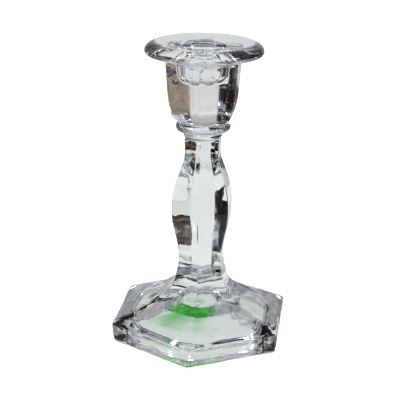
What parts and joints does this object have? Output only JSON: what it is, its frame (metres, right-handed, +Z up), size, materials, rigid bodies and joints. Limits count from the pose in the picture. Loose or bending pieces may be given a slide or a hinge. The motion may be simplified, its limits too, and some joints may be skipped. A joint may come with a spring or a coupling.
{
  "type": "candlestick",
  "caption": "Clear pressed-glass candlestick: spreading hexagonal foot, hexagonal baluster stem and a socket with a round drip rim for a taper candle.",
  "frame": {"origin": "centre of the foot's resting face, on the surface that the candlestick stands on", "axes": "+Z up along the stem's axis; -Y towards the foot's front corner, so that the foot's corners lie on +Y and -Y and two of its flat sides face +X and -X"},
  "size_m": [0.0882, 0.1014, 0.1582],
  "materials": {
    "glass": "clear, fire-polished",
    "felt": "matt green baize"
  },
  "bodies": {
    "root": {"felt_ring": "felt", "felt_pad": "felt", "foot": "glass", "stem": "glass", "stem_ring": "glass", "collar_bead": "glass", "candle_socket": "glass"}
  },
  "joints": []
}
